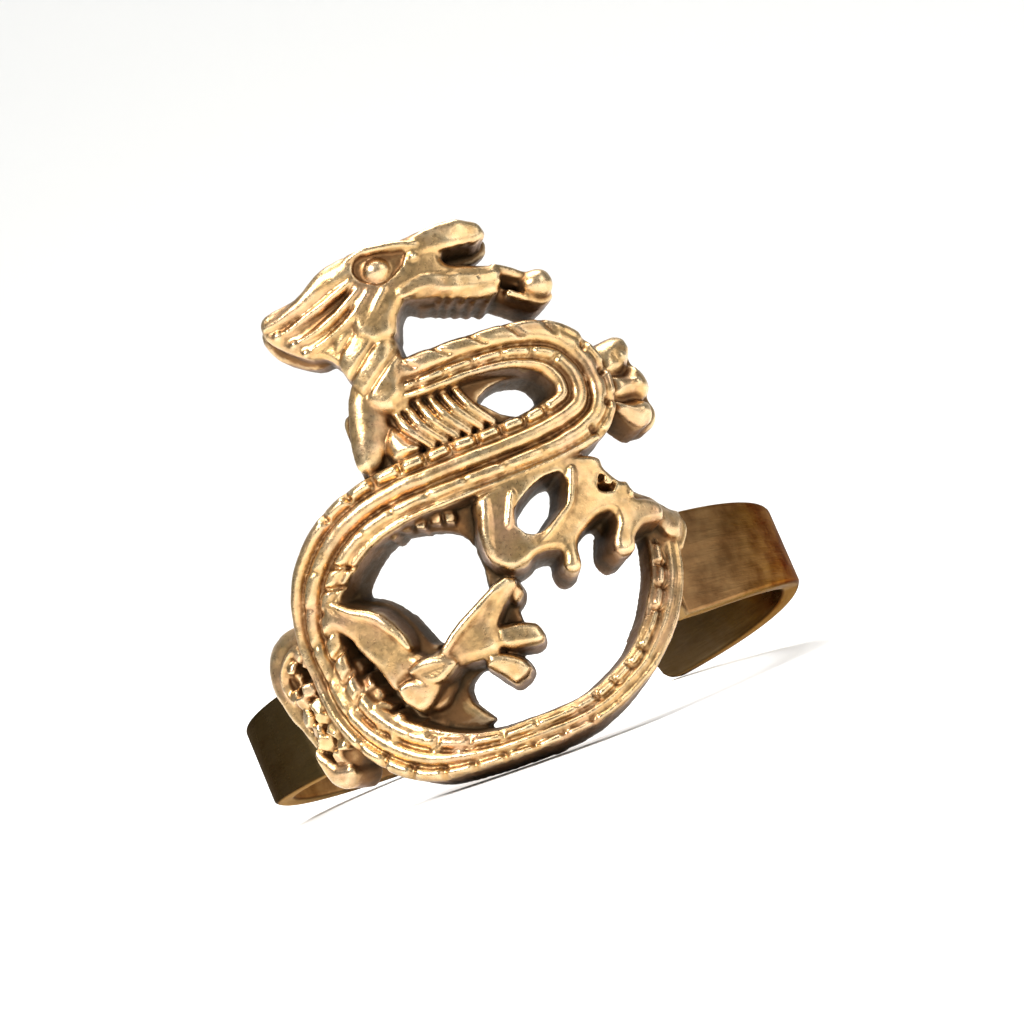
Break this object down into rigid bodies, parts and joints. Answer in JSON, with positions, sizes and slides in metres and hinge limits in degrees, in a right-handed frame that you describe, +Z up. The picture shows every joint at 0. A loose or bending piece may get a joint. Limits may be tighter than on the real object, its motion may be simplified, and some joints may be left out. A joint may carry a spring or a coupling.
{
  "type": "dragon finger ring",
  "caption": "Finger ring: a pierced, cast dragon with open jaws, clawed legs and an S-curved ridged body whose tail closes a loop, on a plain flat band open at the back.",
  "frame": {"origin": "on the surface that the ring lies on, under the middle of the ring's outer box", "axes": "+Z up from the surface, -Y the dragon's side, which faces the viewer, +Y the open back of the band, +X to the viewer's right. The finger's axis leans 10.5 degrees back from +Z"},
  "size_m": [0.0198, 0.021, 0.0176],
  "materials": {
    "cast_brass": "worn cast brass, bright on the ridges, dark tarnish in the recesses and on the band"
  },
  "bodies": {
    "root": {"dragon_ring": "cast_brass"}
  },
  "joints": []
}
